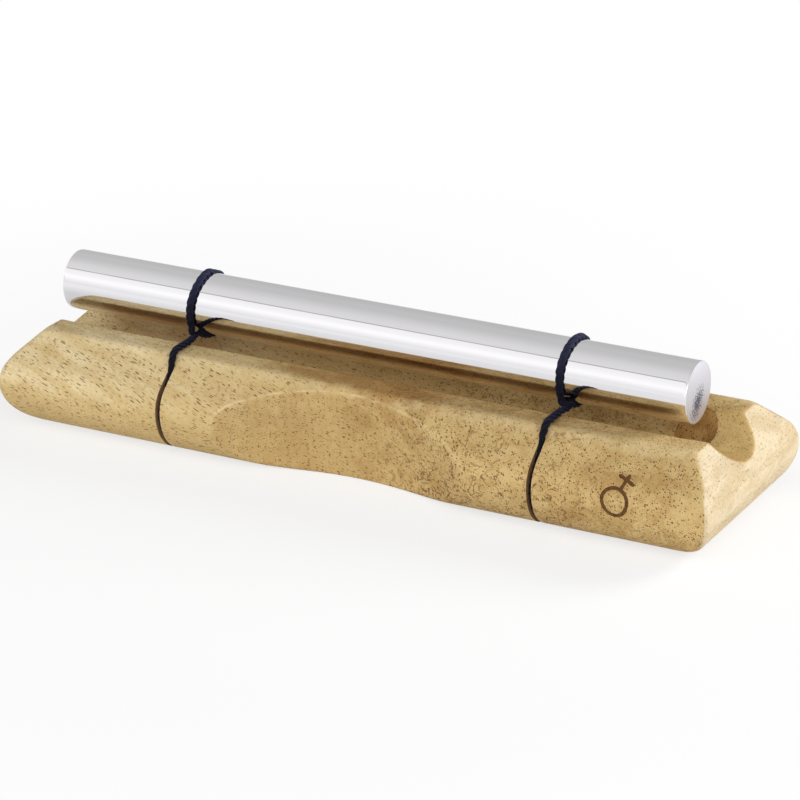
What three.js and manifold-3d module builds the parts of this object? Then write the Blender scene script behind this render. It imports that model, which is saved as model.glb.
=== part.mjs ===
// A chime bar: a polished aluminium rod slung by two cords over the trough of a solid hardwood base.
// Millimetres. X runs along the rod, +Z is up, and the origin is at the centre of the base's underside.
import * as THREE from "three";
import { mergeVertices } from "three/addons/utils/BufferGeometryUtils.js";
import Module from "manifold-3d";

// Base block: overall length and height, and its section across the length
const baseLength = 252;
const baseHeight = 32;
const bellyHeight = baseHeight / 2; // of the widest line of the long sides, and radius of the turn below it
const bellyHalfWidth = 37.8;
const bellyUpperRadius = 10;
const faceTurn = THREE.MathUtils.degToRad(50); // how far the upper belly turns before the flat face starts
const shoulderRadius = 3;
const rimRadius = 1.2;

// Base block: its outline along the length
const endBellyRadius = 15.2;
const endTurn = THREE.MathUtils.degToRad(43.2); // lean of the flat end faces
const endEdgeRadius = 1.5;

// Trough along the top of the base
const troughRadius = 15;
const troughAxisRise = 6; // height of the trough's axis over the top of the base

// Grip hollows sanded into both long sides
const gripRadius = 80;
const gripDepth = 13.4; // at the belly line
const gripLean = THREE.MathUtils.degToRad(9.5);

// Countersunk pocket in the trough's back wall near one end
const pocketFloorRadius = 4.2;
const pocketDepth = 3.1; // its floor, below the wall of the trough
const pocketFromCentre = 101.6;
const pocketAngle = THREE.MathUtils.degToRad(32.5); // round the trough from its lowest line
const pocketFlare = THREE.MathUtils.degToRad(36.5);
const pocketLean = THREE.MathUtils.degToRad(9); // of its axis, towards the end of the base

// Saw kerfs round the base that hold the cords
const kerfSpacing = 132;
const kerfShift = 1.6; // the kerfs sit this much to one side of the sling's strands
const kerfWidth = 1.7;
const kerfDepth = 3.8;
const kerfTopDrop = 4; // how far below the top of the base a kerf runs out into the long faces

// Rod
const rodLength = 224;
const rodDiameter = 20;
const rodAxisRise = 9.5; // height of the rod's axis over the top of the base
const rodShift = -5.5; // the rod sits a little off the middle of the base
const rodEdgeChamfer = 0.3;

// Cord, and its knots in front of the rod
const cordDiameter = 2.6;
const squeezedWidth = 1.2; // width of the cord where a kerf nips it
const clearance = 0.3; // gap kept between a cord and what it touches
const landShare = 0.5; // share of the flat land beside the trough over which the sling's strands lie
const knotAngle = THREE.MathUtils.degToRad(221);
const knotShift = 1.5; // sideways place of the knot from its sling
const knotHalfLength = 3.1;
const knotHalfDepth = 2.1;
const knotHalfHeight = 2.5;
const tailLength = 4; // from the knot's middle to the tip of the cut tail
const tailTipRadius = 0.4;
const knotEntry = THREE.MathUtils.degToRad(6); // how far round the rod from the knot the strands end
const loopStart = -0.1; // sideways places of the loop's two ends from its sling, and its swing at the front
const loopEnd = 3;
const loopSwing = 2.3;
const swingTurn = THREE.MathUtils.degToRad(50); // the swing is complete after this much of the turn
const cradleStartShift = -1.2; // sideways places of the cradling strand where it meets and leaves the rod
const cradleEndShift = -0.3;

// Fineness of the round shapes
const cordSides = 8;
const loopSteps = 36;
const arcSteps = 10;
const troughSteps = 24;
const gripSegments = 128;
const rodSegments = 64;
const pocketSegments = 40;
const knotSegments = 18;
const rimBendSteps = 4;
const overrun = 4; // how far a cutting body reaches past what it cuts
const weldDistance = 1e-4; // points nearer than this are one point

const cordRadius = cordDiameter / 2;
const rodRadius = rodDiameter / 2;
const seatOffset = clearance + cordRadius; // from a seat's surface to the cord's centre line
const loopRadius = rodRadius + seatOffset;
const rodAxisHeight = baseHeight + rodAxisRise;
const kerfTop = baseHeight - kerfTopDrop;
const quarterTurn = Math.PI / 2;

const wasm = await Module();
wasm.setup();

// Turns a closed three.js geometry into a solid for cutting and joining.
function solid(geometry) {
  const bare = geometry.index ? geometry.toNonIndexed() : geometry.clone();
  bare.deleteAttribute("normal");
  bare.deleteAttribute("uv");
  const merged = mergeVertices(bare, weldDistance);
  return new wasm.Manifold(
    new wasm.Mesh({
      numProp: 3,
      vertProperties: merged.attributes.position.array,
      triVerts: new Uint32Array(merged.index.array),
    }),
  );
}

// Turns a solid back into a geometry that a mesh can hold.
function geometryOf(body) {
  const mesh = body.getMesh();
  const places = new Float32Array(mesh.numVert * 3);
  for (let i = 0; i < mesh.numVert; i++) {
    const from = i * mesh.numProp;
    places.set(mesh.vertProperties.subarray(from, from + 3), i * 3);
  }
  const geometry = new THREE.BufferGeometry();
  geometry.setAttribute("position", new THREE.BufferAttribute(places, 3));
  geometry.setIndex(new THREE.BufferAttribute(new Uint32Array(mesh.triVerts), 1));
  geometry.computeVertexNormals();
  return geometry;
}

// Points of an arc in a plane, both ends included.
function arc(x, y, radius, from, to, steps = arcSteps) {
  return Array.from({ length: steps + 1 }, (_, i) => {
    const angle = from + ((to - from) * i) / steps;
    return new THREE.Vector2(x + radius * Math.cos(angle), y + radius * Math.sin(angle));
  });
}

// Points of a round that takes off the corner between two straight edges.
function roundedCorner(before, corner, after, radius) {
  const back = before.clone().sub(corner).normalize();
  const ahead = after.clone().sub(corner).normalize();
  const half = Math.acos(THREE.MathUtils.clamp(back.dot(ahead), -1, 1)) / 2;
  const centre = back
    .clone()
    .add(ahead)
    .normalize()
    .multiplyScalar(radius / Math.sin(half))
    .add(corner);
  const first = back.multiplyScalar(radius / Math.tan(half)).add(corner).sub(centre);
  const last = ahead.multiplyScalar(radius / Math.tan(half)).add(corner).sub(centre);
  const sweep = Math.atan2(first.cross(last), first.dot(last));
  return arc(centre.x, centre.y, radius, first.angle(), first.angle() + sweep);
}

// Extrudes an outline drawn in (Y, Z) along X, centred on the part's origin.
function extrudeAlongX(outline, length) {
  const geometry = new THREE.ExtrudeGeometry(new THREE.Shape(outline), {
    depth: length,
    bevelEnabled: false,
  });
  const turn = new THREE.Matrix4().makeBasis(
    new THREE.Vector3(0, 1, 0),
    new THREE.Vector3(0, 0, 1),
    new THREE.Vector3(1, 0, 0),
  );
  return geometry.applyMatrix4(turn).translate(-length / 2, 0, 0);
}

// Extrudes an outline drawn in (X, Z) along Y, centred on the part's origin.
function extrudeAlongY(outline, length) {
  const geometry = new THREE.ExtrudeGeometry(new THREE.Shape(outline), {
    depth: length,
    bevelEnabled: false,
  });
  return geometry.rotateX(quarterTurn).translate(0, length / 2, 0);
}

// The long face of the base: where it starts on the belly, and its slope down to there.
const bellyCentre = bellyHalfWidth - bellyHeight;
const upperBellyCentre = bellyHalfWidth - bellyUpperRadius;
const faceFoot = new THREE.Vector2(
  upperBellyCentre + bellyUpperRadius * Math.cos(faceTurn),
  bellyHeight + bellyUpperRadius * Math.sin(faceTurn),
);

// Half-width of the long face at a height above its foot.
function faceHalfWidth(height) {
  return faceFoot.x - (height - faceFoot.y) * Math.tan(faceTurn);
}

const landHalfWidth = faceHalfWidth(baseHeight);
const troughAxisHeight = baseHeight + troughAxisRise;
const rimHalfWidth = Math.sqrt(troughRadius ** 2 - troughAxisRise ** 2);
const rimAngle = -Math.asin(troughAxisRise / troughRadius);

// Section of the base across its length, with the trough, as points (y, z) of one half from the bottom up.
function sideHalf() {
  const shoulder = new THREE.Vector2(landHalfWidth, baseHeight);
  const rim = new THREE.Vector2(rimHalfWidth, baseHeight);
  const downTheWall = new THREE.Vector2(Math.sin(rimAngle), -Math.cos(rimAngle)).add(rim);
  const rimRound = roundedCorner(shoulder, rim, downTheWall, rimRadius);
  const wallStart = rimRound.at(-1);
  const wallAngle = Math.atan2(wallStart.y - troughAxisHeight, wallStart.x);
  return [
    ...arc(bellyCentre, bellyHeight, bellyHeight, -quarterTurn, 0),
    ...arc(upperBellyCentre, bellyHeight, bellyUpperRadius, 0, faceTurn).slice(1),
    ...roundedCorner(faceFoot, shoulder, rim, shoulderRadius),
    ...rimRound,
    ...arc(0, troughAxisHeight, troughRadius, wallAngle, -quarterTurn, troughSteps / 2).slice(1),
  ];
}

// Outline of the base along its length, as points (x, z) of one half from the bottom up.
function endHalf() {
  const beltCentre = baseLength / 2 - endBellyRadius;
  const foot = new THREE.Vector2(
    beltCentre + endBellyRadius * Math.cos(endTurn),
    endBellyRadius * (1 + Math.sin(endTurn)),
  );
  const edge = new THREE.Vector2(foot.x - (baseHeight - foot.y) * Math.tan(endTurn), baseHeight);
  return [
    ...arc(beltCentre, endBellyRadius, endBellyRadius, -quarterTurn, endTurn),
    ...roundedCorner(foot, edge, new THREE.Vector2(0, baseHeight), endEdgeRadius),
  ];
}

// Closes a half outline with its mirror image. A half that ends on the middle line shares that point.
function mirrored(half) {
  const other = half.map((p) => new THREE.Vector2(-p.x, p.y)).reverse();
  return [...half, ...other.filter((p) => Math.abs(p.x) > weldDistance)];
}

// Floor of a kerf, seen along X: points (y, z) of one half from the middle of the underside up to its top.
const kerfFloorHalf = [
  ...arc(bellyCentre, bellyHeight, bellyHeight - kerfDepth, -quarterTurn, 0),
  new THREE.Vector2(faceHalfWidth(kerfTop), kerfTop),
];

// The slice that a saw takes out: all that lies outside the kerf's floor and below its top.
function kerfCutter() {
  const reach = bellyHalfWidth + overrun;
  const outline = [
    ...kerfFloorHalf.map((p) => new THREE.Vector2(-p.x, p.y)).reverse(),
    ...kerfFloorHalf,
    new THREE.Vector2(reach, kerfTop),
    new THREE.Vector2(reach, -overrun),
    new THREE.Vector2(-reach, -overrun),
    new THREE.Vector2(-reach, kerfTop),
  ];
  return solid(extrudeAlongX(outline, kerfWidth));
}

// One long side's grip hollow: part of a wide cylinder that leans in towards the underside.
function gripCutter(side) {
  const height = 2 * (baseHeight + overrun);
  const drum = new THREE.CylinderGeometry(gripRadius, gripRadius, height, gripSegments);
  drum.rotateX(quarterTurn).rotateX(-side * gripLean);
  const surface = bellyHalfWidth - gripDepth;
  const axis = surface + gripRadius / Math.cos(gripLean);
  return solid(drum.translate(0, side * axis, bellyHeight));
}

// The pocket: a cone with a flat floor, sunk square to the wall of the trough.
function pocketCutter() {
  const reach = pocketDepth + overrun;
  const profile = [
    new THREE.Vector2(0, 0),
    new THREE.Vector2(pocketFloorRadius, 0),
    new THREE.Vector2(pocketFloorRadius + reach * Math.tan(pocketFlare), reach),
    new THREE.Vector2(0, reach),
  ];
  const cutter = new THREE.LatheGeometry(profile, pocketSegments).rotateX(quarterTurn);
  cutter.rotateY(pocketLean).rotateX(pocketAngle);
  const outFromAxis = troughRadius + pocketDepth;
  return solid(
    cutter.translate(
      pocketFromCentre,
      outFromAxis * Math.sin(pocketAngle),
      troughAxisHeight - outFromAxis * Math.cos(pocketAngle),
    ),
  );
}

function makeBase() {
  let block = solid(extrudeAlongX(mirrored(sideHalf()), baseLength + 2 * overrun));
  block = block.intersect(solid(extrudeAlongY(mirrored(endHalf()), 2 * (bellyHalfWidth + overrun))));
  for (const side of [-1, 1]) {
    block = block.subtract(gripCutter(side));
    block = block.subtract(kerfCutter().translate([(side * kerfSpacing) / 2 + kerfShift, 0, 0]));
  }
  return geometryOf(block.subtract(pocketCutter()));
}

function makeRod() {
  const half = rodLength / 2;
  const flat = rodRadius - rodEdgeChamfer;
  const profile = [
    new THREE.Vector2(0, -half),
    new THREE.Vector2(flat, -half),
    new THREE.Vector2(rodRadius, rodEdgeChamfer - half),
    new THREE.Vector2(rodRadius, half - rodEdgeChamfer),
    new THREE.Vector2(flat, half),
    new THREE.Vector2(0, half),
  ];
  return new THREE.LatheGeometry(profile, rodSegments).rotateZ(-quarterTurn);
}

// A closed tube through rings. Each ring has a centre, the directions across and outward, and its half sizes.
function tube(rings) {
  const places = [];
  const faces = [];
  for (const ring of rings) {
    for (let k = 0; k < cordSides; k++) {
      const angle = (2 * Math.PI * k) / cordSides;
      places.push(
        ring.centre
          .clone()
          .addScaledVector(ring.across, ring.halfWidth * Math.cos(angle))
          .addScaledVector(ring.outward, ring.halfHeight * Math.sin(angle)),
      );
    }
  }
  const startCap = places.push(rings[0].centre) - 1;
  const endCap = places.push(rings.at(-1).centre) - 1;
  const lastRing = (rings.length - 1) * cordSides;
  for (let k = 0; k < cordSides; k++) {
    const next = (k + 1) % cordSides;
    for (let at = 0; at < lastRing; at += cordSides) {
      faces.push(at + k, at + next, at + cordSides + k);
      faces.push(at + next, at + cordSides + next, at + cordSides + k);
    }
    faces.push(startCap, next, k, endCap, lastRing + k, lastRing + next);
  }
  const geometry = new THREE.BufferGeometry().setFromPoints(places);
  return geometry.setIndex(faces);
}

// Rings of a round cord whose centre line and outward directions are given.
function roundRings(centres, outwards) {
  return centres.map((centre, i) => {
    const ahead = centres[Math.min(i + 1, centres.length - 1)];
    const along = ahead.clone().sub(centres[Math.max(i - 1, 0)]).normalize();
    const across = outwards[i].clone().cross(along).normalize();
    const outward = along.clone().cross(across);
    return { centre, across, outward, halfWidth: cordRadius, halfHeight: cordRadius };
  });
}

// The cord's bend over the trough's rim: centre of the bend, and where it leaves for the rod.
const rimBendCentre = new THREE.Vector2(rimHalfWidth + rimRadius / 2, baseHeight - rimRadius);
const rimBendRadius = rimRadius + seatOffset;
const toRod = new THREE.Vector2(-rimBendCentre.x, rodAxisHeight - rimBendCentre.y);
const spanAngle = toRod.angle() + Math.asin((rimBendRadius + loopRadius) / toRod.length());
const rimBendEnd = spanAngle - quarterTurn;
const cradleStart = spanAngle - 2 * Math.PI + quarterTurn; // angle round the rod where the span touches it

// Place on the land at which a fixed cord ends and its free span over the trough starts.
const spanStart = THREE.MathUtils.lerp(rimBendCentre.x, landHalfWidth, landShare);

// Rings of the fixed cord, from the front land down the face, round the kerf's floor and up to the back land.
function kerfCordRings(x) {
  const shoulder = new THREE.Vector2(landHalfWidth, baseHeight);
  const top = kerfFloorHalf.at(-1);
  const seat = [
    ...kerfFloorHalf,
    ...roundedCorner(top, shoulder, new THREE.Vector2(0, baseHeight), shoulderRadius),
    new THREE.Vector2(spanStart, baseHeight),
  ];
  const ends = [new THREE.Vector2(0, kerfDepth), ...seat, new THREE.Vector2(0, baseHeight)];
  const half = seat.map((point, i) => {
    const along = ends[i + 2].clone().sub(ends[i]).normalize();
    const outward = new THREE.Vector2(along.y, -along.x);
    const place = point.clone().addScaledVector(outward, seatOffset);
    const nipped = THREE.MathUtils.clamp((baseHeight - point.y) / (baseHeight - kerfTop), 0, 1);
    const halfWidth = THREE.MathUtils.lerp(cordDiameter, squeezedWidth, nipped) / 2;
    return { place, outward, halfWidth, aside: kerfShift * nipped };
  });
  const ringOn = (side) => (r) => ({
    centre: new THREE.Vector3(x + r.aside, side * r.place.x, r.place.y),
    across: new THREE.Vector3(1, 0, 0),
    outward: new THREE.Vector3(0, side * r.outward.x, r.outward.y),
    halfWidth: r.halfWidth,
    halfHeight: cordRadius,
  });
  return [...half.map(ringOn(-1)).reverse(), ...half.map(ringOn(1))];
}

// A point on a circle of cord round the rod, and the direction away from the rod there.
function roundRod(x, angle, radius = loopRadius) {
  const away = new THREE.Vector3(0, Math.cos(angle), Math.sin(angle));
  const centre = away.clone().multiplyScalar(radius).add(new THREE.Vector3(x, 0, rodAxisHeight));
  return { centre, away };
}

// The loop: from the knot up the front of the rod, over it, down the back and under it to the knot again.
function loopRings(x) {
  const drift = loopEnd - loopStart + loopSwing;
  const stations = Array.from({ length: loopSteps + 1 }, (_, i) => {
    const share = i / loopSteps;
    const turn = THREE.MathUtils.lerp(knotEntry, 2 * Math.PI - knotEntry, share);
    const swing = loopSwing * THREE.MathUtils.smoothstep(turn, 0, swingTurn);
    return roundRod(x + loopStart - swing + drift * share, knotAngle - turn);
  });
  const centres = stations.map((s) => s.centre);
  return roundRings(centres, stations.map((s) => s.away));
}

// The strand that cradles the rod: from the back land over the rim and under the rod to the knot.
function cradleRings(x) {
  const bend = arc(rimBendCentre.x, rimBendCentre.y, rimBendRadius, quarterTurn, rimBendEnd, rimBendSteps);
  const up = new THREE.Vector3(0, 0, 1);
  const centres = [new THREE.Vector3(x, spanStart - clearance, baseHeight + seatOffset)];
  const outwards = [up];
  for (const p of bend) {
    centres.push(new THREE.Vector3(x, p.x, p.y));
    outwards.push(up);
  }
  const knotBelow = knotAngle - 2 * Math.PI + knotEntry;
  const steps = Math.ceil((loopSteps * (cradleStart - knotBelow)) / (2 * Math.PI));
  for (let i = 0; i <= steps; i++) {
    const share = i / steps;
    const angle = THREE.MathUtils.lerp(cradleStart, knotBelow, share);
    const shift = THREE.MathUtils.lerp(cradleStartShift, cradleEndShift, share);
    const { centre, away } = roundRod(x + shift, angle);
    centres.push(centre);
    outwards.push(away.negate());
  }
  return roundRings(centres, outwards);
}

// The strand from the front land over the rim to the knot.
function frontSpanRings(x, knot) {
  const bend = arc(rimBendCentre.x, rimBendCentre.y, rimBendRadius, quarterTurn, rimBendEnd, rimBendSteps);
  const places = [new THREE.Vector2(spanStart - clearance, baseHeight + seatOffset), ...bend];
  const centres = places.map((p) => new THREE.Vector3(x, -p.x, p.y));
  centres.push(knot);
  const up = new THREE.Vector3(0, 0, 1);
  return roundRings(centres, centres.map(() => up));
}

// The knot's envelope, an ellipsoid against the rod, grown by a margin.
function knotBody(x, margin) {
  const ball = new THREE.SphereGeometry(1, knotSegments, knotSegments / 2);
  ball.scale(knotHalfLength + margin, knotHalfDepth + margin, knotHalfHeight + margin);
  ball.rotateX(knotAngle);
  const { centre } = roundRod(x + knotShift, knotAngle, rodRadius + clearance + knotHalfDepth);
  return { body: solid(ball.translate(centre.x, centre.y, centre.z)), centre };
}

// The knot with its cut tail, which points along the rod.
function makeKnot(x) {
  const { body, centre } = knotBody(x, 0);
  const tail = new THREE.CylinderGeometry(tailTipRadius, cordRadius, tailLength, cordSides);
  tail.rotateZ(-quarterTurn).translate(centre.x + tailLength / 2, centre.y, centre.z);
  return body.add(solid(tail));
}

// Least gap between the turns of an unbroken tube, from the points of its centre line.
function leastGap(rings) {
  let least = Infinity;
  const apart = Math.ceil(rings.length / 2);
  for (let i = 0; i + apart < rings.length; i++) {
    for (let j = i + apart; j < rings.length; j++) {
      least = Math.min(least, rings[i].centre.distanceTo(rings[j].centre));
    }
  }
  return least - cordDiameter;
}

const wood = () => new THREE.MeshStandardMaterial({ color: 0xd9b573, roughness: 0.6, metalness: 0 });
const metal = () => new THREE.MeshStandardMaterial({ color: 0xdadadd, roughness: 0.12, metalness: 1 });
const cordCloth = () => new THREE.MeshStandardMaterial({ color: 0x14152a, roughness: 0.7, metalness: 0 });

function named(name, geometry, material) {
  const mesh = new THREE.Mesh(geometry, material);
  mesh.name = name;
  return mesh;
}

const part = new THREE.Group();
part.add(named("base", makeBase(), wood()));

const rod = named("chime_rod", makeRod(), metal());
rod.position.set(rodShift, 0, rodAxisHeight);
part.add(rod);

for (const [side, name] of [
  [-1, "left"],
  [1, "right"],
]) {
  const x = (side * kerfSpacing) / 2;
  const { body: knotSpace, centre: knotCentre } = knotBody(x, clearance);
  const loop = loopRings(x);
  console.log(name + " loop: least gap to itself " + leastGap(loop).toFixed(2) + " mm");
  const knot = makeKnot(x);
  const strands = {
    front_span: frontSpanRings(x, knotCentre),
    rod_loop: loop,
    cradle_strand: cradleRings(x),
  };
  part.add(named(name + "_kerf_cord", tube(kerfCordRings(x)), cordCloth()));
  for (const [strand, rings] of Object.entries(strands)) {
    const body = solid(tube(rings)).subtract(knotSpace);
    part.add(named(name + "_" + strand, geometryOf(body), cordCloth()));
  }
  part.add(named(name + "_knot", geometryOf(knot), cordCloth()));
}

export default part;
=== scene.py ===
# Looks of the chime bar: a wooden base, a polished rod and two laid cords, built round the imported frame.
import math

import bmesh
import bpy
import numpy as np
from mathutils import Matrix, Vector


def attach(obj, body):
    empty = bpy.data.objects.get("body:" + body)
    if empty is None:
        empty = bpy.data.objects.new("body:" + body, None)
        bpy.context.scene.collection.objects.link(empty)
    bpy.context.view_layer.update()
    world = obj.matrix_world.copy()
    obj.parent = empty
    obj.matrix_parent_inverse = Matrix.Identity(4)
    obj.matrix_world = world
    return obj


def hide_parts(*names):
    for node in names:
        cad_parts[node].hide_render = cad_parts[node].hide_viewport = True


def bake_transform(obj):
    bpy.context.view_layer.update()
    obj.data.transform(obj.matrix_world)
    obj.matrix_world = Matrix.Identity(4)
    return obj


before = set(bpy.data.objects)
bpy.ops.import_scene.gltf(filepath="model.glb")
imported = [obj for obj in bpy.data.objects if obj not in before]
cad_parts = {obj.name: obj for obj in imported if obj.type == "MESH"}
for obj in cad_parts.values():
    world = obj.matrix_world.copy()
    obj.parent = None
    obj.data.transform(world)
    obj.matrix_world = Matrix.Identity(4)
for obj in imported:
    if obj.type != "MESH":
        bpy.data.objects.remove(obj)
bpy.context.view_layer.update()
MM = 0.001

# ---------------------------------------------------------------- camera
CAMERA_TURN, CAMERA_RISE = math.radians(27.85), math.radians(21.48)
CAMERA_TARGET, CAMERA_AWAY = Vector((3.57, 0.0, 20.15)) * MM, 1.080
FOCAL_PIXELS, PICTURE_PIXELS, SENSOR_WIDTH = 3370.0, 800.0, 36.0


def make_camera():
    level = math.cos(CAMERA_RISE)
    back = Vector((math.sin(CAMERA_TURN) * level, -math.cos(CAMERA_TURN) * level, math.sin(CAMERA_RISE)))
    camera = bpy.data.objects.new("camera", bpy.data.cameras.new("camera"))
    bpy.context.scene.collection.objects.link(camera)
    camera.location = CAMERA_TARGET + back * CAMERA_AWAY
    camera.rotation_mode = "QUATERNION"
    camera.rotation_quaternion = (-back).to_track_quat("-Z", "Y")
    camera.data.sensor_width = SENSOR_WIDTH
    camera.data.lens = FOCAL_PIXELS / PICTURE_PIXELS * SENSOR_WIDTH
    camera.data.clip_start, camera.data.clip_end = 0.05, 50.0
    bpy.context.scene.camera = camera


make_camera()


# ---------------------------------------------------------------- helpers
def add_object(name, mesh):
    obj = bpy.data.objects.new(name, mesh)
    bpy.context.scene.collection.objects.link(obj)
    return obj


def mesh_from(name, points, faces):
    mesh = bpy.data.meshes.new(name)
    mesh.from_pydata([tuple(p) for p in points], [], [tuple(f) for f in faces])
    mesh.update()
    return mesh


def smooth(mesh, angle):
    """Smooth shading, with edges sharper than the angle in degrees kept crisp."""
    mesh.polygons.foreach_set("use_smooth", [True] * len(mesh.polygons))
    mesh.set_sharp_from_angle(angle=math.radians(angle))


def face_outward(mesh):
    bm = bmesh.new()
    bm.from_mesh(mesh)
    bmesh.ops.recalc_face_normals(bm, faces=bm.faces)
    bm.to_mesh(mesh)
    bm.free()
    return mesh


def tube(rings, closed=False):
    """Points and faces of a tube through rings of points (n, k, 3). An open run of rings gets end caps."""
    n, k = rings.shape[:2]
    points = rings.reshape(-1, 3)
    faces = []
    for i in range(n if closed else n - 1):
        a, b = i * k, ((i + 1) % n) * k
        faces += [(a + j, a + (j + 1) % k, b + (j + 1) % k, b + j) for j in range(k)]
    if not closed:
        faces += [tuple(range(k - 1, -1, -1)), tuple((n - 1) * k + j for j in range(k))]
    return points, faces


# ---------------------------------------------------------------- base block, in millimetres
HALF_L, HEIGHT = 126.0, 32.0
# long sides: the widest line, the radius above it, the lean of the face over it, and the round at its top
BELLY_W, BELLY_H, UP_R, TURN, SHOULDER_R = 37.8, 16.0, 10.0, math.radians(50), 3.0
# ends: the radius of the roll, the lean of the face over it, and the round at its top
END_R, END_TURN, END_TOP_R = 15.2, math.radians(43.2), 1.8
CORNER_R, RIM_R, END_RIM_R = 1.5, 1.5, 0.6  # rounds between sides and ends, and along the trough's rim
TROUGH_R, TROUGH_Z = 15.0, 38.0
# kerfs: their places and width, their depth round the belly, and how high they end on the face and how deep there
KERF_X, KERF_W, KERF_D, KERF_TOP, KERF_DROP = (-64.4, 67.6), 1.7, 3.8, 28.4, 2.3
# grip hollows: the radius of the cylinder that makes them, their depth at the widest line, and its lean
GRIP_R, GRIP_D, GRIP_LEAN = 80.0, 13.4, math.radians(9.5)
GRIP_AXIS = BELLY_W - GRIP_D + GRIP_R / math.cos(GRIP_LEAN)
# pocket: its place along the trough, the drill's tilt across and lean along it, its floor and flare
POCKET_X, POCKET_TILT, POCKET_LEAN = 101.6, math.radians(32.5), math.radians(9)
POCKET_R, POCKET_DEPTH, POCKET_FLARE = 4.2, 3.1, math.radians(36.5)


def round_max(a, b, k):
    """The larger of two distances, with the edge between them rounded."""
    both = np.sqrt(np.maximum(a + k, 0) ** 2 + np.maximum(b + k, 0) ** 2) - k
    return np.where((a > -k) & (b > -k), both, np.maximum(a, b))


def profile(u, z, centre, radius, turn, top_round, low_centre, low_radius):
    """Distance to a rolled edge profile: a low turn, an upper turn, a leaning face and a flat top."""
    n = (math.cos(turn), math.sin(turn))
    face = n[0] * (u - centre) + n[1] * (z - low_radius) - radius
    turned = np.where(
        np.arctan2(z - low_radius, u - centre) < turn,
        np.hypot(u - centre, z - low_radius) - radius,
        face,
    )
    turned = np.where(u < centre, face, turned)
    # the round between the leaning face and the flat top
    cz = HEIGHT - top_round
    cu = centre + (radius - top_round - n[1] * (cz - low_radius)) / n[0]
    angle = np.arctan2(z - cz, u - cu)
    upper = np.maximum(turned, z - HEIGHT - np.maximum(cu - u, 0))
    on_round = (angle > turn) & (angle < math.pi / 2)
    upper = np.where(on_round, np.hypot(u - cu, z - cz) - top_round, upper)
    low = np.where(
        u > low_centre, np.hypot(u - low_centre, z - low_radius) - low_radius, u - low_centre - z
    )
    return np.where(z < low_radius, low, upper)


def base_distance(p):
    """Distance of points from the base block's surface, negative inside it."""
    x, y, z = p[..., 0], p[..., 1], p[..., 2]
    ax, ay = np.abs(x), np.abs(y)
    side = profile(ay, z, BELLY_W - UP_R, UP_R, TURN, SHOULDER_R, BELLY_W - BELLY_H, BELLY_H)
    end = profile(ax, z, HALF_L - END_R, END_R, END_TURN, END_TOP_R, HALF_L - END_R, END_R)
    d = np.maximum(round_max(side, end, CORNER_R), np.maximum(-z, z - HEIGHT))
    # the trough, whose rim is less rounded near the ends
    trough = TROUGH_R - np.hypot(ay, z - TROUGH_Z)
    near_end = np.clip((ax - 108) / 6, 0, 1)
    d = round_max(d, trough, RIM_R - (RIM_R - END_RIM_R) * near_end)
    # grip hollows: a leaning cylinder in each long side, with a softer edge towards the right
    across = (ay - GRIP_AXIS) * math.cos(GRIP_LEAN) - (z - BELLY_H) * math.sin(GRIP_LEAN)
    softness = 0.7 + 0.9 * np.clip((x - 10) / 30, 0, 1)
    return round_max(d, GRIP_R - np.hypot(x, across), softness)


def neighbours(axis):
    """Two indices that line each grid point up with the next one along an axis."""
    near, far = [slice(None)] * 3, [slice(None)] * 3
    near[axis], far[axis] = slice(0, -1), slice(1, None)
    return tuple(near), tuple(far)


def surface_net(distance, low, high, step):
    """A closed quad mesh on the zero level of a distance field."""
    axes = [np.arange(lo, hi + st, st) for lo, hi, st in zip(low, high, step)]
    field = np.empty([len(a) for a in axes], np.float32)
    yy, zz = np.meshgrid(axes[1], axes[2], indexing="ij")
    for i, x in enumerate(axes[0]):
        field[i] = distance(np.stack([np.full_like(yy, x), yy, zz], -1))
    inside = field < 0
    cells = [n - 1 for n in field.shape]
    # each cell's point is the mean of the places where the surface crosses its edges
    total = np.zeros(cells + [3], np.float32)
    count = np.zeros(cells, np.float32)
    for axis in range(3):
        near, far = neighbours(axis)
        cross = inside[near] != inside[far]
        t = np.where(cross, field[near] / np.where(cross, field[near] - field[far], 1), 0)
        others = [i for i in range(3) if i != axis]
        for da, db in ((0, 0), (0, 1), (1, 0), (1, 1)):
            pick = [slice(None)] * 3
            pick[others[0]] = slice(da, da + cells[others[0]])
            pick[others[1]] = slice(db, db + cells[others[1]])
            here, share = cross[tuple(pick)], t[tuple(pick)]
            count += here
            total[..., axis] += np.where(here, share, 0)
            total[..., others[0]] += np.where(here, da, 0)
            total[..., others[1]] += np.where(here, db, 0)
    used = count > 0
    number = np.full(cells, -1)
    number[used] = np.arange(used.sum())
    points = (np.argwhere(used) + total[used] / count[used][:, None]) * np.array(step) + np.array(low)
    # each crossed edge gives one quad between the four cells round it
    quads = []
    for axis in range(3):
        near, far = neighbours(axis)
        others = [i for i in range(3) if i != axis]
        inner = [slice(None)] * 3
        inner[others[0]], inner[others[1]] = slice(1, -1), slice(1, -1)
        leaving, entering = inside[near] & ~inside[far], ~inside[near] & inside[far]
        for flag, flip in ((leaving, False), (entering, True)):
            at = np.argwhere(flag[tuple(inner)])
            at[:, others[0]] += 1
            at[:, others[1]] += 1
            corners = []
            for da, db in ((1, 1), (0, 1), (0, 0), (1, 0)):
                cell = at.copy()
                cell[:, others[0]] -= da
                cell[:, others[1]] -= db
                corners.append(number[cell[:, 0], cell[:, 1], cell[:, 2]])
            quad = np.stack(corners, 1)
            # outward winding: the Y axis is turned over, because its other two axes are left-handed
            if flip != (axis == 1):
                quad = quad[:, ::-1]
            quads.append(quad)
    return points.astype(float), np.concatenate(quads)


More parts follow.
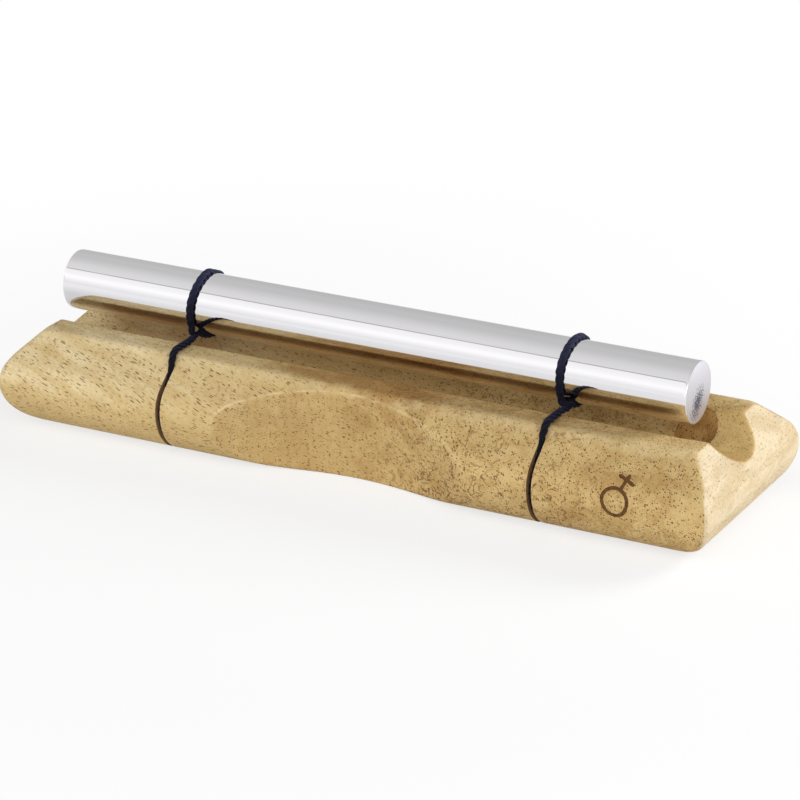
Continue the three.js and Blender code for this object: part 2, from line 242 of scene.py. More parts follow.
def settle(points, distance, steps=4, reach=0.02):
    """Moves points onto the zero level along the field's slope, which is measured over the reach."""
    for _ in range(steps):
        d = distance(points)
        g = np.empty_like(points)
        for i in range(3):
            e = np.zeros(3)
            e[i] = reach
            g[:, i] = (distance(points + e) - distance(points - e)) / (2 * reach)
        points -= (d / np.maximum((g * g).sum(1), 0.2))[:, None] * g
    return points


# ---------------------------------------------------------------- what is cut into the base
def on_face(height):
    """How far out the leaning face of a long side is at a height."""
    foot_y, foot_z = BELLY_W - UP_R + UP_R * math.cos(TURN), BELLY_H + UP_R * math.sin(TURN)
    return foot_y - (height - foot_z) * math.tan(TURN)


def kerf_cutter(x):
    """The wood that a saw takes out round the underside, as a plate across the base."""
    n = np.array([math.cos(TURN), math.sin(TURN)])
    top = np.array([on_face(KERF_TOP), KERF_TOP])
    out = top + 3 * n
    a = np.linspace(-math.pi / 2, 0, 24)
    floor_r = BELLY_H - KERF_D
    inner = list(zip(BELLY_W - BELLY_H + floor_r * np.cos(a), BELLY_H + floor_r * np.sin(a)))
    half = inner + [tuple(top - KERF_DROP * n), tuple(out)]
    left = [(-y, z) for y, z in reversed(half)]
    reach = BELLY_W + 4
    outline = left + half + [(reach, out[1]), (reach, -4), (-reach, -4), (-reach, out[1])]
    count = len(outline)
    points = [(side, y, z) for side in (x - KERF_W / 2, x + KERF_W / 2) for y, z in outline]
    faces = [tuple(range(count)), tuple(range(2 * count - 1, count - 1, -1))]
    faces += [(i, count + i, count + (i + 1) % count, (i + 1) % count) for i in range(count)]
    return face_outward(mesh_from("kerf", np.array(points) * MM, faces))


def pocket_cutter():
    """The drilled pocket: a flat floor with a worn edge and a flaring wall."""
    reach = 7.0
    mouth_r = POCKET_R + reach * math.tan(POCKET_FLARE)
    stations = ((0, 0.05), (0, POCKET_R - 0.35), (0.1, POCKET_R - 0.08), (0.35, POCKET_R + 0.12), (reach, mouth_r))
    a = np.linspace(0, 2 * math.pi, 72, endpoint=False)
    p = np.stack([np.stack([r * np.cos(a), r * np.sin(a), np.full_like(a, s)], 1) for s, r in stations])
    x, y, z = p[..., 0], p[..., 1], p[..., 2]
    cos, sin = math.cos(POCKET_LEAN), math.sin(POCKET_LEAN)
    x, z = x * cos + z * sin, z * cos - x * sin
    cos, sin = math.cos(POCKET_TILT), math.sin(POCKET_TILT)
    y, z = y * cos - z * sin, y * sin + z * cos
    out = TROUGH_R + POCKET_DEPTH
    points, faces = tube(np.stack([x + POCKET_X, y + out * sin, z + TROUGH_Z - out * cos], -1) * MM)
    return face_outward(mesh_from("pocket", points, faces))


def face_point(s):
    """Point (y, z) and outward normal on the front face, s millimetres round it from the belly's widest line."""
    if s < 0:
        a, radius, y0 = s / BELLY_H, BELLY_H, BELLY_W - BELLY_H
    else:
        a, radius, y0 = min(s / UP_R, TURN), UP_R, BELLY_W - UP_R
    n = np.array([-math.cos(a), math.sin(a)])
    past = max(s - UP_R * TURN, 0.0)
    point = np.array([-y0, BELLY_H]) + radius * n + past * np.array([math.sin(a), math.cos(a)])
    return point, n


# half section of a burnt line: how far across it and how far out of the wood
GROOVE = [(0.3, -0.34), (0.5, -0.24), (0.6, 0.05), (0.62, 0.8)]


def groove_cutter(name, track, closed=False):
    """A burnt line's shallow groove along a track of (x, s) places on the front face."""
    track = np.array(track, float)
    ahead = np.roll(track, -1, 0) - np.roll(track, 1, 0)
    if not closed:
        ahead[0], ahead[-1] = track[1] - track[0], track[-1] - track[-2]
    ahead /= np.linalg.norm(ahead, axis=1)[:, None]
    section = [(-GROOVE[0][0], GROOVE[0][1])] + GROOVE + [(-u, v) for u, v in reversed(GROOVE[1:])]
    rings = []
    for i, ((x, s), (dx, ds)) in enumerate(zip(track, ahead)):
        point, normal = face_point(s)
        wide = 1.0 + 0.08 * math.sin(2.3 * i) + 0.06 * math.sin(0.9 * i + 1)
        if not closed and i in (0, len(track) - 1):
            wide *= 0.55
        along_s = np.array([0.0, normal[1], -normal[0]])
        outward = np.array([0.0, normal[0], normal[1]])
        across = np.array([-ds, 0, 0]) + dx * along_s
        centre = np.array([x, point[0], point[1]])
        rings.append([centre + across * u * wide + outward * v for u, v in section])
    points, faces = tube(np.array(rings) * MM, closed)
    return face_outward(mesh_from(name, points, faces))


def symbol_cutters():
    """The burnt sign on the front: a ring with a crossed stem, leaning a little and not quite even."""
    a = np.linspace(0, 2 * math.pi, 48, endpoint=False)
    r = 4.2 + 0.16 * np.cos(2 * a + 2.2) + 0.07 * np.sin(3 * a)
    ring = np.stack([96.0 + r * np.cos(a), 1.4 + r * np.sin(a)], 1)
    t = np.linspace(0, 1, 9)[:, None]
    stem = (1 - t) * (97.35, 5.3) + t * (98.95, 10.8) + 0.12 * np.sin(math.pi * t) * (1, 0)
    bar = (1 - t) * (95.55, 10.05) + t * (101.3, 7.3) + 0.1 * np.sin(math.pi * t) * (1, 1)
    return [groove_cutter("ring", ring, True), groove_cutter("stem", stem), groove_cutter("bar", bar)]


def cut(obj, cutters):
    """Takes each cutter out of obj. The faces that it leaves keep the cutter's material."""
    for i, (mesh, material) in enumerate(cutters):
        mesh.materials.append(material)
        tool = add_object("cutter_%d" % i, mesh)
        mod = obj.modifiers.new("cut", "BOOLEAN")
        mod.operation, mod.object, mod.solver = "DIFFERENCE", tool, "MANIFOLD"
        mod.material_mode = "TRANSFER"
        with bpy.context.temp_override(object=obj, active_object=obj):
            bpy.context.view_layer.objects.active = obj
            bpy.ops.object.modifier_apply(modifier=mod.name)
        bpy.data.objects.remove(tool)


# ---------------------------------------------------------------- materials
class Nodes:
    """Writes the nodes of a material or world as nested calls. A tuple or number sets the socket's own value."""

    def __init__(self, owner):
        owner.use_nodes = True
        self.owner = owner
        self.tree = owner.node_tree
        self.shader = self.tree.nodes.get("Principled BSDF")

    def new(self, kind):
        return self.tree.nodes.new("ShaderNode" + kind)

    def node(self, kind, inputs=None, out=0, **settings):
        n = self.new(kind)
        for key, value in settings.items():
            setattr(n, key, value)
        for key, value in (inputs or {}).items():
            self.feed(n.inputs[key], value)
        return n.outputs[out]

    def feed(self, socket, value):
        if isinstance(value, bpy.types.NodeSocket):
            self.tree.links.new(value, socket)
        elif socket.type == "RGBA" and len(value) == 3:
            socket.default_value = (*value, 1)
        else:
            socket.default_value = value

    def set(self, **inputs):
        for key, value in inputs.items():
            self.feed(self.shader.inputs[key.replace("_", " ")], value)

    def math(self, operation, a, b=0.0, c=0.0):
        return self.node("Math", {0: a, 1: b, 2: c}, operation=operation)

    def add(self, a, b):
        return self.math("ADD", a, b)

    def mul(self, first, *others):
        for other in others:
            first = self.math("MULTIPLY", first, other)
        return first

    def mad(self, a, b, c):
        return self.math("MULTIPLY_ADD", a, b, c)

    def length(self, a, b):
        return self.math("SQRT", self.mad(a, a, self.mul(b, b)))

    def ramp(self, value, low, high, to_low=0.0, to_high=1.0, kind="SMOOTHSTEP"):
        ends = {0: value, 1: low, 2: high, 3: to_low, 4: to_high}
        return self.node("MapRange", ends, interpolation_type=kind)

    def xyz(self, x, y, z):
        return self.node("CombineXYZ", {0: x, 1: y, 2: z})

    def split(self, vector):
        parts = self.new("SeparateXYZ")
        self.feed(parts.inputs[0], vector)
        return parts.outputs

    def scaled(self, vector, factors):
        return self.node("VectorMath", {0: vector, 1: factors}, operation="MULTIPLY")

    def shifted(self, vector, by):
        return self.node("VectorMath", {0: vector, 1: by}, operation="ADD")

    def mix(self, fac, a, b, blend="MIX"):
        n = self.new("Mix")
        n.data_type, n.blend_type = "RGBA", blend
        self.feed(n.inputs[0], fac)
        self.feed(n.inputs[6], a)
        self.feed(n.inputs[7], b)
        return n.outputs[2]

    def tint(self, fac, colour, by):
        return self.mix(fac, colour, by, "MULTIPLY")

    def noise(self, vector, scale, detail=2.0, rough=0.5, distortion=0.0):
        given = {"Vector": vector, "Scale": scale, "Detail": detail, "Roughness": rough, "Distortion": distortion}
        return self.node("TexNoise", given)

    def bump(self, height, distance, strength):
        return self.node("Bump", {"Height": height, "Distance": distance, "Strength": strength})

    def place(self):
        """Object coordinates in millimetres, as a vector and as three numbers."""
        mm = self.node("VectorMath", {0: self.node("TexCoord", out=3), "Scale": 1000.0}, operation="SCALE")
        parts = self.split(mm)
        return mm, parts[0], parts[1], parts[2]


# colours of the wood, paler at the base's left end and browner from its middle on; the pale one is also painted
# light, stronger high on the left face than on the belly
WOOD_LIGHT = (0.66, 0.49, 0.225)
WOOD_PALE_AND_LIT = (0.86, 0.745, 0.48)
WOOD_MID = (0.57, 0.40, 0.17)
WOOD_DEEP = (0.42, 0.26, 0.09)
WOOD_PORE = (0.16, 0.075, 0.028)
# the end grain's paler colour, partly a painted sheen of the brightly lit end
WOOD_END_AND_SHEEN = (0.80, 0.695, 0.50)
WOOD_END_DEEP = (0.66, 0.525, 0.335)
WOOD_WARM = (0.66, 0.46, 0.18)
# painted highlight along the hollows' upper edge and along the shoulders
WOOD_PAINTED_HIGHLIGHT = (0.78, 0.64, 0.38)
WOOD_SAWN = (0.2, 0.1, 0.06)
WOOD_BURNT = (0.10, 0.042, 0.013)
# tints that multiply the colour under them
BLOTCH_TINT = (0.80, 0.70, 0.56)
# the next two tints paint shade into the trough under the rod
TROUGH_SHADE_TINT = (0.64, 0.53, 0.44)
SHADE_TINT = (0.70, 0.60, 0.51)
# browner patch on the front land: partly the wood's figure, partly a painted shadow of the rod
BROWN_AND_SHADOW_TINT = (0.72, 0.59, 0.46)
# the pocket darker: partly its own tone, partly painted shade in the recess
BORED_TONE_AND_SHADE_TINT = (0.72, 0.56, 0.42)
# the grip hollows darker: partly their own tone, partly painted shade
HOLLOW_TONE_AND_SHADE_TINT = (0.90, 0.87, 0.84)
ROD_MIDDLE = -5.5  # where the middle of the rod lies along the trough


def wood_fibre(t, mm, x, y, z):
    """Coordinates along the grain and twice across it. At the left the grain lies with the front face, and
    from the middle on it turns to run into it, so vessels show as dashes at the left and as dots at the right."""
    turned = t.ramp(x, -25.0, 55.0, kind="LINEAR")
    run = t.mad(t.mul(turned, turned), 40.0, t.math("MAXIMUM", t.add(x, -55.0), 0.0))
    sway = t.mul(t.add(t.noise(mm, 0.045, 2.0), -0.5), 4.0)
    other_sway = t.mul(t.add(t.noise(t.shifted(mm, (31.0, 17.0, 5.0)), 0.05, 2.0), -0.5), 4.0)
    across = t.math("SUBTRACT", y, t.add(t.mul(x, -0.19), sway))
    upward = t.math("SUBTRACT", z, t.add(t.mul(x, -0.34), other_sway))
    return t.xyz(t.mad(x, 0.15, t.mul(run, 0.65)), across, upward)


def wood_pores(t, fibre, spacing, radius, share, shift):
    """Spots of varied size, one in each of a share of the cells of a pattern in fibre coordinates."""
    cell = t.new("TexVoronoi")
    t.feed(cell.inputs["Vector"], t.shifted(fibre, (shift, shift * 2, shift * 3)))
    t.feed(cell.inputs["Scale"], 1.0 / spacing)
    random = t.new("SeparateColor")
    t.feed(random.inputs[0], cell.outputs["Color"])
    size = t.mul(t.mad(random.outputs[1], 0.8, 0.6), radius)
    spot = t.ramp(t.mul(cell.outputs["Distance"], spacing), t.mul(size, 0.55), size, 1.0, 0.0)
    return t.mul(spot, t.math("LESS_THAN", random.outputs[0], share))


def wood_curls(t, mm, x):
    """Fine dark curls in the figure, in patches and mostly right of the middle."""
    curl = t.noise(mm, 0.22, 2.0, 0.45, 1.0)
    wave = t.math("ABSOLUTE", t.math("SINE", t.mul(curl, 12.0)))
    line = t.mul(t.ramp(wave, 0.08, 0.5, 1.0, 0.0), t.ramp(t.noise(mm, 0.1, 1.0), 0.34, 0.48))
    line = t.mul(line, t.ramp(t.noise(mm, 0.7, 2.0), 0.38, 0.52))
    return t.mul(line, t.mul(t.ramp(x, -5.0, 30.0), t.ramp(x, 75.0, 95.0, 1.0, 0.35)))


def wood_ground(t, mm, x, z, fibre, fine):
    """The colour of the wood without its pores: pale and brown streaks, patches and blotches."""
    figure = t.noise(t.scaled(fibre, (0.25, 0.35, 0.22)), 0.55, 3.0, 0.55, 1.2)
    patch = t.noise(mm, 0.07, 5.0, 0.62)
    blotch = t.ramp(t.noise(mm, 0.15, 5.0, 0.62, 1.4), 0.47, 0.62)
    # painted light: the pale colour stronger on the upper face than on the belly
    high = t.ramp(z, 12.0, 22.0, 0.15, 1.0)
    pale = t.mix(t.mul(t.ramp(x, -110.0, -5.0, 0.95, 0.0), high), WOOD_LIGHT, WOOD_PALE_AND_LIT)
    streak = t.mix(t.ramp(x, -110.0, -25.0, 0.55, 0.0), WOOD_MID, WOOD_LIGHT)
    colour = t.mix(t.ramp(figure, 0.25, 0.75, 0.15, 0.85), pale, streak)
    patched = t.mul(t.ramp(patch, 0.42, 0.72), t.ramp(x, -60.0, 40.0, 0.2, 0.85))
    colour = t.mix(patched, colour, WOOD_DEEP)
    colour = t.mix(t.ramp(fine, 0.4, 0.75, 0.0, 0.45), colour, WOOD_DEEP)
    return t.tint(t.mul(blotch, t.ramp(x, -30.0, 30.0, 0.1, 0.42)), colour, BLOTCH_TINT)


def trough_shade_and_tone(t, colour, x, y, z):
    """The trough: painted shade under the rod, deepest at the left and in its front half, and warmer at its right
    end.
    """
    deep = t.length(y, t.add(z, -TROUGH_Z))
    in_trough = t.ramp(deep, TROUGH_R + 0.3, TROUGH_R + 0.9, 1.0, 0.0)
    near_rod = t.ramp(t.math("ABSOLUTE", t.add(x, -ROD_MIDDLE)), 94.0, 112.0, 1.0, 0.0)
    shade_depth = t.add(t.ramp(x, -72.0, -58.0, 0.8, 0.4), t.ramp(x, 10.0, 40.0, 0.0, -0.25))
    # painted shade in the trough under the rod, deepest at its left
    colour = t.tint(t.mul(in_trough, t.mul(near_rod, shade_depth)), colour, TROUGH_SHADE_TINT)
    # painted shade on the trough's front half, which the rod mirrors
    colour = t.tint(t.mul(in_trough, near_rod, t.ramp(y, 0.0, 5.0, 0.9, 0.0)), colour, SHADE_TINT)
    return t.mix(t.mul(in_trough, t.ramp(x, 104.0, 112.0, 0.0, 0.35)), colour, WOOD_WARM)


def brown_patch_and_shadow(t, mm, x, y, z):
    """Share of the browner patch on the front land: partly the wood's own figure and partly a painted shadow of the
    rod. It is broken at its edge and fades right of the middle.
    """
    far = t.length(t.mul(t.add(x, -30.0), 0.0165), t.mul(t.add(y, 18.5), 0.125))
    broken = t.mad(t.noise(mm, 0.13, 4.0, 0.6), 1.3, t.add(far, -0.65))
    share = t.mul(t.ramp(broken, 0.6, 1.25, 1.0, 0.0), t.ramp(z, 20.0, 26.0))
    return t.mul(share, t.ramp(x, 20.0, 40.0, 1.0, 0.2))


def hollow_shade_and_highlights(t, colour, mm, x, y, z, brown_and_shadow):
    """The grip hollows' own tone, darkened partly as painted shade, and a painted highlight along their upper edge
    and along the shoulders.
    """
    side_y = t.math("ABSOLUTE", y)
    upward = t.mul(t.add(z, -BELLY_H), -math.sin(GRIP_LEAN))
    across = t.mad(t.add(side_y, -GRIP_AXIS), math.cos(GRIP_LEAN), upward)
    hollow = t.add(GRIP_R, t.mul(t.length(x, across), -1.0))
    # the grip hollows darker: partly their own tone, partly painted shade
    inside = t.mul(t.ramp(hollow, -0.5, -0.2), t.ramp(x, -5.0, 25.0, 0.85, 0.3))
    colour = t.tint(inside, colour, HOLLOW_TONE_AND_SHADE_TINT)
    # painted highlight along the hollows' upper edge and along the shoulders
    edge = t.mul(t.ramp(hollow, -1.5, -0.55, 0.0, 1.0), t.ramp(hollow, -0.55, -0.35, 1.0, 0.0))
    edge = t.mul(edge, t.ramp(z, 15.0, 21.0), t.ramp(x, 0.0, 40.0, 1.0, 0.4))
    shoulder = t.mul(t.ramp(z, 28.6, 30.6), t.ramp(side_y, 20.0, 23.5))
    painted_highlight = t.math("MAXIMUM", edge, t.mul(shoulder, t.mad(brown_and_shadow, -0.6, 0.6)))
    return t.mix(t.mul(painted_highlight, t.ramp(t.noise(mm, 0.2, 2.0), 0.3, 0.65, 0.1, 0.6)), colour, WOOD_PAINTED_HIGHLIGHT)


def wood_nodes(name, sawn=0.0, bored=0.0, burnt=0.0):
    """Pale open-pored hardwood, and the same wood where it is sawn, bored or burnt."""
    t = Nodes(bpy.data.materials.new(name))
    mm, x, y, z = t.place()
    fibre = wood_fibre(t, mm, x, y, z)
    fine = t.noise(t.scaled(fibre, (3.0, 1.0, 1.0)), 2.0, 4.0, 0.7)
    colour = wood_ground(t, mm, x, z, fibre, fine)
    # end grain, on the face of the right end: its own paler colour, made paler still as a painted sheen where the
    # end faces the light
    facing_end = t.ramp(t.split(t.node("TexCoord", out=1))[0], 0.4, 0.7, 0.0, 0.75)
    end_grain_and_sheen = t.mul(facing_end, t.ramp(x, 108.0, 113.0))
    not_end = t.mad(end_grain_and_sheen, -0.7, 1.0)
    cloud = t.noise(t.scaled(mm, (1.0, 0.5, 1.6)), 0.09, 5.0, 0.6, 0.8)
    colour = t.mix(end_grain_and_sheen, colour, t.mix(t.ramp(cloud, 0.36, 0.66), WOOD_END_AND_SHEEN, WOOD_END_DEEP))
    curl_share = t.mad(end_grain_and_sheen, -0.7, t.ramp(z, 14.0, 22.0, 0.85, 0.5))
    colour = t.mix(t.mul(wood_curls(t, mm, x), curl_share), colour, WOOD_PORE)
    large_r, large_share = t.ramp(x, -20.0, 50.0, 0.18, 0.25), t.ramp(x, -40.0, 50.0, 0.6, 0.42)
    large = wood_pores(t, fibre, 0.6, large_r, large_share, 0.0)
    small = wood_pores(t, fibre, 0.42, 0.135, 0.5, 7.3)
    pit = t.math("MAXIMUM", large, t.mul(small, 0.65))
    pit_share = t.mul(t.ramp(x, -60.0, 60.0, 0.9, 0.97, kind="LINEAR"), not_end)
    colour = t.mix(t.mul(pit, pit_share), colour, WOOD_PORE)
    colour = trough_shade_and_tone(t, colour, x, y, z)
    # a browner patch on the front land, partly the wood's figure and partly a painted shadow of the rod
    brown_and_shadow = brown_patch_and_shadow(t, mm, x, y, z)
    colour = t.tint(brown_and_shadow, colour, BROWN_AND_SHADOW_TINT)
    if bored:
        # the pocket darker: partly its own tone, partly painted shade in the recess
        colour = t.tint(bored, colour, BORED_TONE_AND_SHADE_TINT)
    colour = hollow_shade_and_highlights(t, colour, mm, x, y, z, brown_and_shadow)
    if sawn:
        colour = t.mix(sawn, colour, WOOD_SAWN)
    if burnt:
        scorch = t.ramp(t.noise(mm, 0.9, 3.0), 0.3, 0.7, burnt, min(burnt + 0.12, 1.0))
        colour = t.mix(scorch, colour, WOOD_BURNT)
    t.set(Base_Color=colour, Roughness=t.ramp(fine, 0.2, 0.8, 0.5, 0.64), Specular_IOR_Level=0.08)
    t.set(Normal=t.bump(t.add(t.mul(fine, 0.12), t.mul(pit, -1.0)), 0.00012, 0.7))
    return t.owner


def make_base():
    wood = wood_nodes("wood")
    sawn = wood_nodes("wood_sawn_kerf", sawn=0.8)
    bored = wood_nodes("wood_bored", bored=0.8)
    burnt = wood_nodes("wood_burnt", burnt=0.85)
    step = ((0.9, 0.6, 0.6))
    # the grid starts off the base's symmetry planes and flat faces, so that no grid point lies on the surface
    low = (-HALF_L - 2.03, -BELLY_W - 2.01, -2.02)
    high = (HALF_L + 2.03, BELLY_W + 2.01, HEIGHT + 2.02)
    points, quads = surface_net(base_distance, low, high, step)
    points = settle(points, base_distance)
    base = add_object("hardwood_base", mesh_from("hardwood_base", points * MM, quads))
    base.data.materials.append(wood)
    cutters = [(kerf_cutter(x), sawn) for x in KERF_X] + [(pocket_cutter(), bored)]
    cut(base, cutters + [(mesh, burnt) for mesh in symbol_cutters()])
    smooth(base.data, 40)
    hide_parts("base")
    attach(base, "base")


make_base()


# ---------------------------------------------------------------- rod
ROD_R, ROD_Z, ROD_LOW, ROD_HIGH = 10.0, 41.5, -117.5, 106.5
ROD_EDGE = [(0.0, 0.28), (0.08, 0.085), (0.28, 0.0)]  # broken edge: in from the end, and in from the radius
# pairs of colours between which the metal varies
POLISHED = (0.91, 0.90, 0.912), (0.945, 0.935, 0.947)
SATIN = (0.62, 0.61, 0.645), (0.70, 0.69, 0.72)
SMUDGE = (0.05, 0.05, 0.10)


def polished_nodes():
    """Polished aluminium with faint drawing streaks along it."""
    t = Nodes(bpy.data.materials.new("rod_metal"))
    mm = t.place()[0]
    streaks = t.noise(t.scaled(mm, (0.02, 1.0, 1.0)), 1.6, 2.0)
    t.set(Metallic=1.0, Base_Color=t.mix(streaks, *POLISHED))
    t.set(Roughness=t.ramp(t.noise(mm, 0.25, 3.0), 0.3, 0.7, 0.03, 0.06))
    t.set(Normal=t.bump(streaks, 0.000004, 0.5))
    return t.owner


def cut_end_nodes():
    """The rod's turned ends: satin, with fine rings, and a speckled smudge on the right one."""
    t = Nodes(bpy.data.materials.new("rod_metal_satin"))
    mm, x, y, z = t.place()
    up = t.add(z, -ROD_Z)
    rings = t.math("SINE", t.mad(t.length(y, up), 26.0, t.mul(t.noise(mm, 0.4, 2.0), 2.0)))
    # the smudge is an ellipse below the middle, leaning with its long axis along (0.64, 0.77)
    dy, dz = t.add(y, 0.5), t.add(up, 3.3)
    long_way = t.mul(t.mad(dy, 0.64, t.mul(dz, 0.77)), 1 / 5.2)
    short_way = t.mul(t.mad(dy, 0.77, t.mul(dz, -0.64)), 1 / 3.1)
    speckle = t.mad(t.length(long_way, short_way), -0.2, t.noise(mm, 1.7, 2.0, 0.6))
    smudge = t.ramp(speckle, 0.31, 0.38, 0.0, t.ramp(x, 0.0, 1.0, 0.0, 0.85))
    silver = t.mix(t.noise(mm, 1.1, 4.0, 0.7), *SATIN)
    t.set(Metallic=1.0, Base_Color=t.mix(smudge, silver, SMUDGE))
    t.set(Roughness=t.ramp(smudge, 0.0, 0.7, 0.52, 0.7))
    t.set(Normal=t.bump(rings, 0.000008, 0.5))
    return t.owner


def make_rod():
    count = 224
    a = np.linspace(0, 2 * math.pi, count, endpoint=False)
    stations = [(ROD_LOW + dx, ROD_R - dr) for dx, dr in ROD_EDGE]
    stations += [(x, ROD_R) for x in np.linspace(ROD_LOW + 1, ROD_HIGH - 1, 24)]
    stations += [(ROD_HIGH - dx, ROD_R - dr) for dx, dr in reversed(ROD_EDGE)]
    rings = [np.stack([np.full_like(a, x), r * np.cos(a), ROD_Z + r * np.sin(a)], 1) for x, r in stations]
    points, faces = tube(np.stack(rings) * MM)
    mesh = face_outward(mesh_from("rod_bar", points, faces))
    mesh.materials.append(polished_nodes())
    mesh.materials.append(cut_end_nodes())
    for face in mesh.polygons:
        if len(face.vertices) > 4:
            face.material_index = 1
    rod = add_object("rod_bar", mesh)
    smooth(mesh, 30)
    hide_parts("chime_rod")
    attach(rod, "rod")


make_rod()


# ---------------------------------------------------------------- cords
# A station of a cord is (x, y, z, half width, half height, outward x, y, z).
PITCH, LOBES = 8.2, 3  # length of one turn of the strands, and their number
UV_LENGTH = 10.0  # millimetres of cord to one unit of its map
YARN_LAY = 0.86  # how far the yarns turn back against the strands
SMOOTHING = 0.8  # how strongly a path is smoothed, in square millimetres and so alike at every step length
CORD_DARK, CORD_BLUE = (0.0018, 0.0024, 0.008), (0.005, 0.0065, 0.020)
CORD_HAIR = (0.014, 0.016, 0.04)
# painted shade for the cord low down, and a painted highlight where it goes over the rod
CORD_PAINTED_SHADE, CORD_PAINTED_HIGHLIGHT = (0.0012, 0.0013, 0.003), (0.022, 0.025, 0.062)


def cord_nodes():
    """Navy-black laid cord: yarns in the bump, short hairs, painted shade low down and a painted blue highlight
    where it goes over the rod.
    """
    t = Nodes(bpy.data.materials.new("cord"))
    uv = t.split(t.node("UVMap", uv_map="lay"))
    mm, _, _, z = t.place()
    yarn = t.mul(t.add(uv[1], t.mul(uv[0], UV_LENGTH * YARN_LAY / PITCH)), 21.0)
    ridge = t.math("ABSOLUTE", t.math("SINE", t.mul(yarn, math.pi)))
    hair = t.noise(t.xyz(t.mul(uv[0], 6.0), t.mul(yarn, 1.7), 0.0), 1.0, 3.0, 0.65)
    colour = t.mix(t.ramp(t.noise(mm, 0.7, 2.0), 0.3, 0.7), CORD_DARK, CORD_BLUE)
    colour = t.mix(t.mul(t.ramp(hair, 0.45, 0.8), 0.5), colour, CORD_HAIR)
    # painted shade: the cord darker low down
    colour = t.mix(t.ramp(z, 35.0, 44.0, 0.8, 0.0), colour, CORD_PAINTED_SHADE)
    # painted highlight: the cord bluer high up, over the rod
    high = t.mul(t.ramp(z, 41.0, 49.0, 0.0, 0.9), t.ramp(hair, 0.3, 0.75, 0.25, 1.0))
    colour = t.mix(high, colour, CORD_PAINTED_HIGHLIGHT)
    t.set(Base_Color=colour, Roughness=t.ramp(hair, 0.3, 0.7, 0.5, 0.7), Specular_IOR_Level=0.16)
    t.set(Sheen_Weight=0.13, Sheen_Roughness=0.4, Sheen_Tint=(0.30, 0.34, 0.85))
    t.set(Normal=t.bump(t.add(ridge, t.mul(hair, 0.8)), 0.00008, 0.8))
    return t.owner


cord_material = cord_nodes()


def distances(points):
    """How far along a run of points each of them lies."""
    return np.concatenate([[0], np.cumsum(np.linalg.norm(np.diff(points, axis=0), axis=1))])


def cord_path(track, step):
    """Evenly spaced stations along a track of stations, smoothed."""
    track = np.array(track, float)
    s = distances(track[:, :3])
    count = int(s[-1] / step) + 1
    even = np.stack([np.interp(np.linspace(0, s[-1], count), s, column) for column in track.T], 1)
    for _ in range(int(SMOOTHING / (0.5 * step * step))):
        even[1:-1] = 0.25 * even[:-2] + 0.5 * even[1:-1] + 0.25 * even[2:]
    return even


def cord_rings(path, sides):
    """Rings of a cord of three strands laid round each other, with the length along it at each ring."""
    centre = path[:, :3]
    s = distances(centre)
    along = np.gradient(centre, axis=0)
    along /= np.linalg.norm(along, axis=1)[:, None]
    outward = path[:, 5:8] - (path[:, 5:8] * along).sum(1)[:, None] * along
    outward /= np.linalg.norm(outward, axis=1)[:, None]
    across = np.cross(along, outward)
    j = np.arange(sides) / sides
    lobe = 1.0 - 0.30 * (1.0 - np.abs(np.cos(0.5 * LOBES * 2 * math.pi * j)) ** 0.75)
    wave = 1.0 + 0.025 * np.sin(s * 1.9)[:, None] * np.cos(2 * math.pi * (j * 2 + s[:, None] * 0.13))
    turn = 2 * math.pi * (j[None, :] - s[:, None] / PITCH)
    u = (path[:, 3, None] * np.cos(turn) * lobe * wave)[..., None] * across[:, None]
    v = (path[:, 4, None] * np.sin(turn) * lobe * wave)[..., None] * outward[:, None]
    return centre[:, None] + u + v, s


def cord_object(name, rings, s, node, body=None, blend=None):
    """One stretch of a cord. It rides on a body, or else stays where it lies in world space; the blend between two
    places is not made.
    """
    mesh = mesh_from(name, *tube(rings * MM))
    n, k = rings.shape[:2]
    i, j = np.meshgrid(np.arange(n - 1), np.arange(k), indexing="ij")
    corners = [np.stack([s[i + di] / UV_LENGTH, (j + dj) / k], -1) for di, dj in ((0, 0), (0, 1), (1, 1), (1, 0))]
    flat = np.zeros((len(mesh.loops), 2))
    flat[: (n - 1) * k * 4] = np.stack(corners, 2).reshape(-1, 2)
    mesh.uv_layers.new(name="lay").data.foreach_set("uv", flat.ravel())
    face_outward(mesh)
    smooth(mesh, 60)
    mesh.materials.append(cord_material)
    obj = add_object(name, mesh)
    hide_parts(node)
    if body:
        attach(obj, body)
    else:
        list(blend[:2])
        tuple(blend[2])
        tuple(blend[3])
        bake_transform(obj)


SHOULDER_Z = HEIGHT - SHOULDER_R
SHOULDER_Y = BELLY_W - UP_R + (UP_R - SHOULDER_R - math.sin(TURN) * (SHOULDER_Z - BELLY_H)) / math.cos(TURN)


